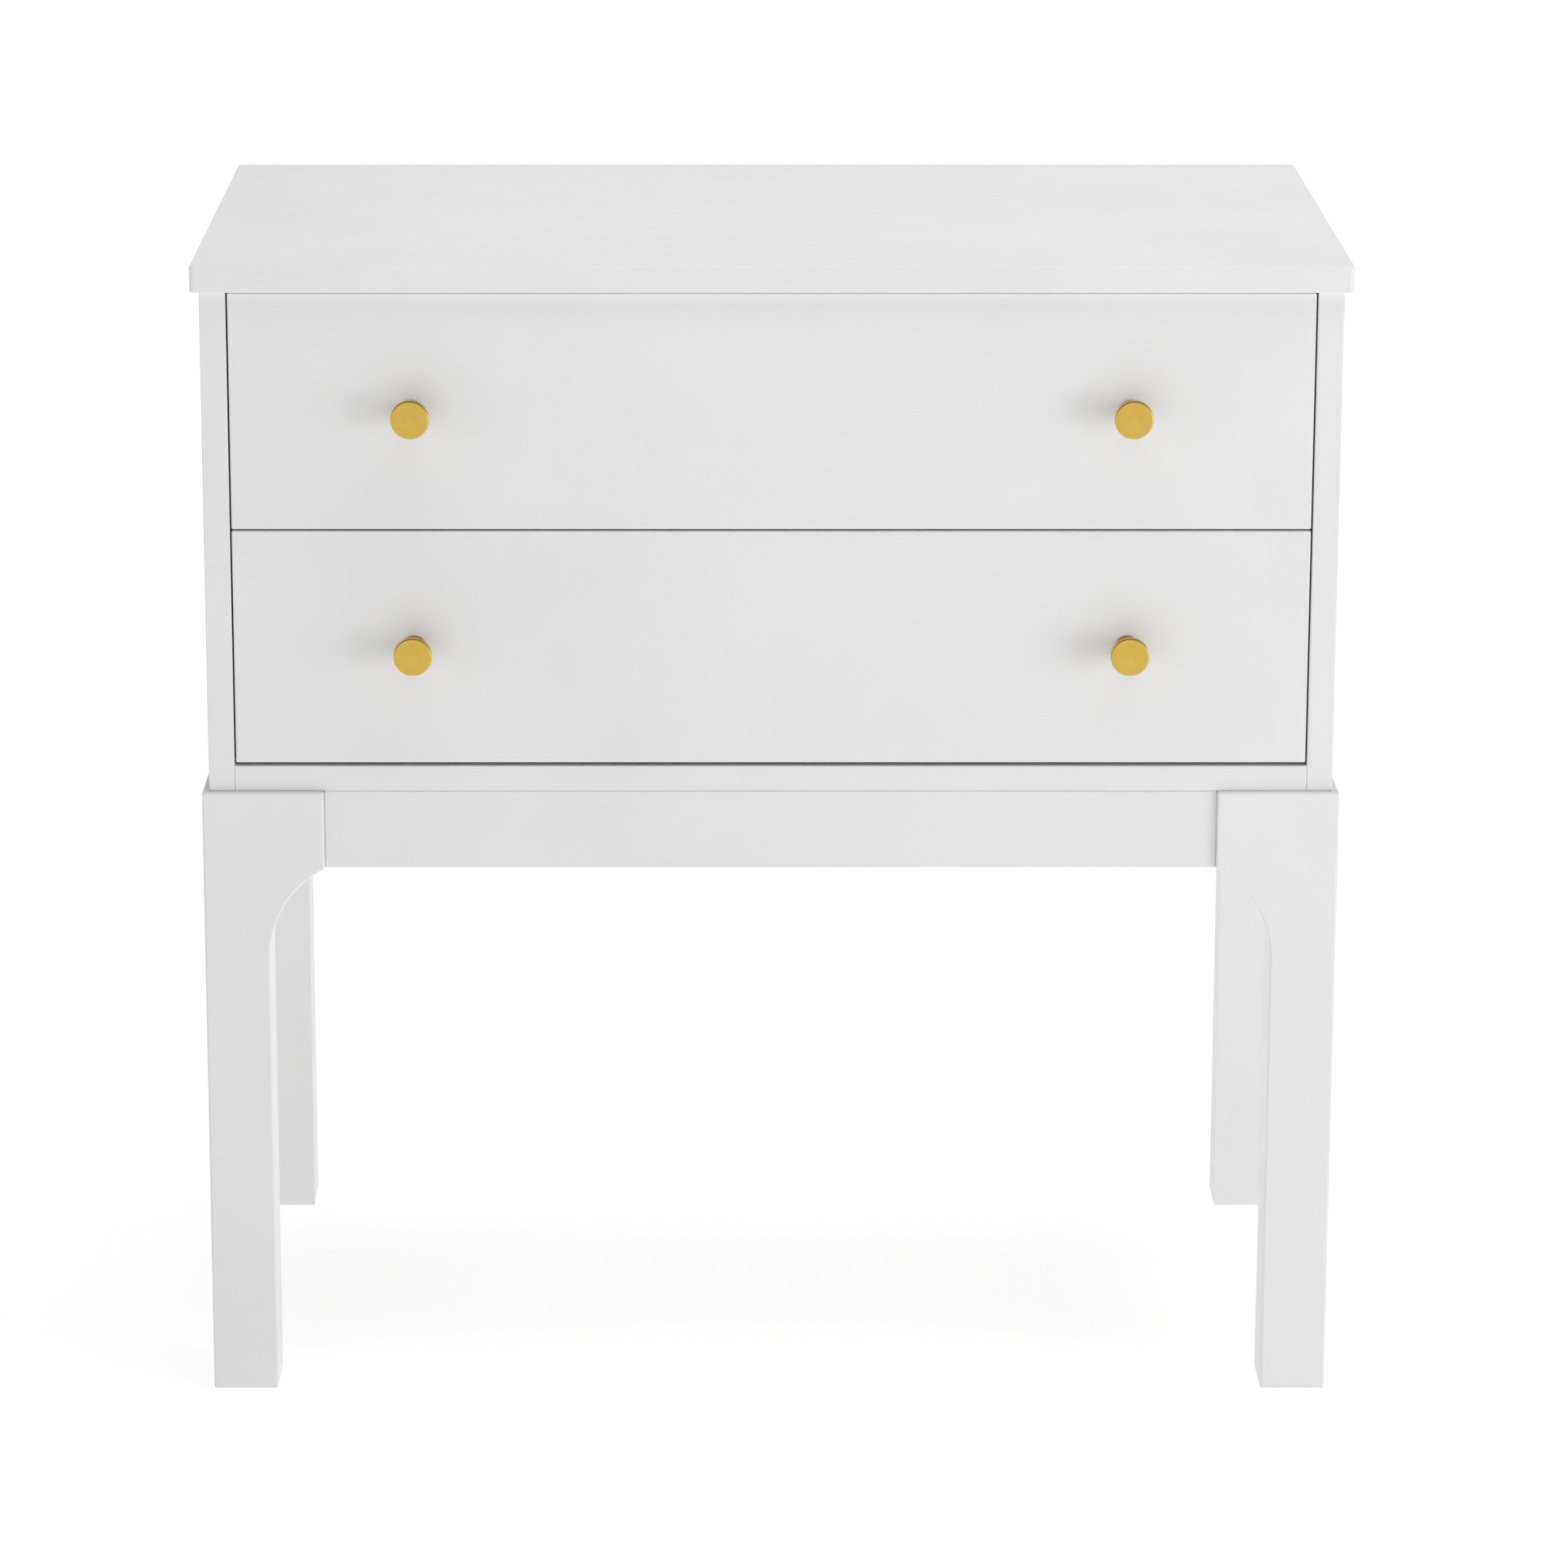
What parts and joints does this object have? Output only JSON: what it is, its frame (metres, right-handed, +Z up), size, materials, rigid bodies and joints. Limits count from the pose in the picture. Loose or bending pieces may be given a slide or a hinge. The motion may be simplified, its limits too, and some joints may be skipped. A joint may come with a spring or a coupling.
{
  "type": "nightstand with drawers",
  "caption": "White lacquered nightstand: a board case with inset drawers and brass knobs on a separate frame of bracketed legs.",
  "frame": {"origin": "on the floor, under the middle of the whole object, knobs included", "axes": "+Z up, drawers open towards -Y, +X to the right of someone facing the drawers"},
  "size_m": [0.66, 0.4, 0.673],
  "materials": {
    "white_lacquer": "satin white lacquer on board and solid wood, softened edges",
    "drawer_box": "white foil-faced board",
    "back_board": "white-faced hardboard",
    "raw_wood": "unfinished beech",
    "brass": "brushed and lacquered",
    "slide_steel": "zinc plated",
    "bearing_steel": "polished",
    "cast_zinc": "die cast, matt",
    "zinc_screws": "zinc plated"
  },
  "bodies": {
    "cabinet": {"top_panel": "white_lacquer", "left_side_panel": "white_lacquer", "right_side_panel": "white_lacquer", "bottom_panel": "white_lacquer", "back_panel": "back_board", "front_left_leg": "white_lacquer", "front_right_leg": "white_lacquer", "rear_left_leg": "white_lacquer", "rear_right_leg": "white_lacquer", "front_apron": "white_lacquer", "rear_apron": "white_lacquer", "left_side_rail": "white_lacquer", "right_side_rail": "white_lacquer", "corner_blocks": "raw_wood", "base_bolts": "zinc_screws", "base_inserts": "zinc_screws", "frame_dowels": "raw_wood", "case_cam_locks": "cast_zinc", "case_cam_bolts": "zinc_screws", "case_dowels": "raw_wood", "back_panel_screws": "zinc_screws", "upper_left_slide_channel": "slide_steel", "upper_right_slide_channel": "slide_steel", "lower_left_slide_channel": "slide_steel", "lower_right_slide_channel": "slide_steel", "slide_cabinet_screws": "zinc_screws"},
    "upper_drawer": {"upper_drawer_front": "white_lacquer", "upper_drawer_left_side": "drawer_box", "upper_drawer_right_side": "drawer_box", "upper_drawer_back": "drawer_box", "upper_drawer_bottom": "back_board", "upper_left_knob": "brass", "upper_right_knob": "brass", "upper_knob_screws": "zinc_screws", "upper_drawer_cam_locks": "cast_zinc", "upper_drawer_cam_bolts": "zinc_screws", "upper_left_slide_rail": "slide_steel", "upper_right_slide_rail": "slide_steel", "upper_slide_drawer_screws": "zinc_screws"},
    "upper_slide_middles": {"upper_left_slide_middle": "slide_steel", "upper_right_slide_middle": "slide_steel"},
    "upper_outer_balls": {"upper_outer_ball_cages": "bearing_steel"},
    "upper_inner_balls": {"upper_inner_ball_cages": "bearing_steel"},
    "lower_drawer": {"lower_drawer_front": "white_lacquer", "lower_drawer_left_side": "drawer_box", "lower_drawer_right_side": "drawer_box", "lower_drawer_back": "drawer_box", "lower_drawer_bottom": "back_board", "lower_left_knob": "brass", "lower_right_knob": "brass", "lower_knob_screws": "zinc_screws", "lower_drawer_cam_locks": "cast_zinc", "lower_drawer_cam_bolts": "zinc_screws", "lower_left_slide_rail": "slide_steel", "lower_right_slide_rail": "slide_steel", "lower_slide_drawer_screws": "zinc_screws"},
    "lower_slide_middles": {"lower_left_slide_middle": "slide_steel", "lower_right_slide_middle": "slide_steel"},
    "lower_outer_balls": {"lower_outer_ball_cages": "bearing_steel"},
    "lower_inner_balls": {"lower_inner_ball_cages": "bearing_steel"}
  },
  "joints": [
    {"name": "upper_drawer_slide", "type": "slide", "parent": "cabinet", "child": "upper_drawer", "axis": [0, -1, 0], "range_m": [0, 0.3]},
    {"name": "upper_middle_travel", "type": "slide", "parent": "cabinet", "child": "upper_slide_middles", "axis": [0, -1, 0], "range_m": [0, 0.15]},
    {"name": "upper_outer_balls_travel", "type": "slide", "parent": "cabinet", "child": "upper_outer_balls", "axis": [0, -1, 0], "range_m": [0, 0.075]},
    {"name": "upper_inner_balls_travel", "type": "slide", "parent": "cabinet", "child": "upper_inner_balls", "axis": [0, -1, 0], "range_m": [0, 0.225]},
    {"name": "lower_drawer_slide", "type": "slide", "parent": "cabinet", "child": "lower_drawer", "axis": [0, -1, 0], "range_m": [0, 0.3]},
    {"name": "lower_middle_travel", "type": "slide", "parent": "cabinet", "child": "lower_slide_middles", "axis": [0, -1, 0], "range_m": [0, 0.15]},
    {"name": "lower_outer_balls_travel", "type": "slide", "parent": "cabinet", "child": "lower_outer_balls", "axis": [0, -1, 0], "range_m": [0, 0.075]},
    {"name": "lower_inner_balls_travel", "type": "slide", "parent": "cabinet", "child": "lower_inner_balls", "axis": [0, -1, 0], "range_m": [0, 0.225]}
  ],
  "couplings": [
    {"joint": "upper_middle_travel", "follows": "upper_drawer_slide", "ratio": 0.5},
    {"joint": "upper_outer_balls_travel", "follows": "upper_drawer_slide", "ratio": 0.25},
    {"joint": "upper_inner_balls_travel", "follows": "upper_drawer_slide", "ratio": 0.75},
    {"joint": "lower_middle_travel", "follows": "lower_drawer_slide", "ratio": 0.5},
    {"joint": "lower_outer_balls_travel", "follows": "lower_drawer_slide", "ratio": 0.25},
    {"joint": "lower_inner_balls_travel", "follows": "lower_drawer_slide", "ratio": 0.75}
  ]
}
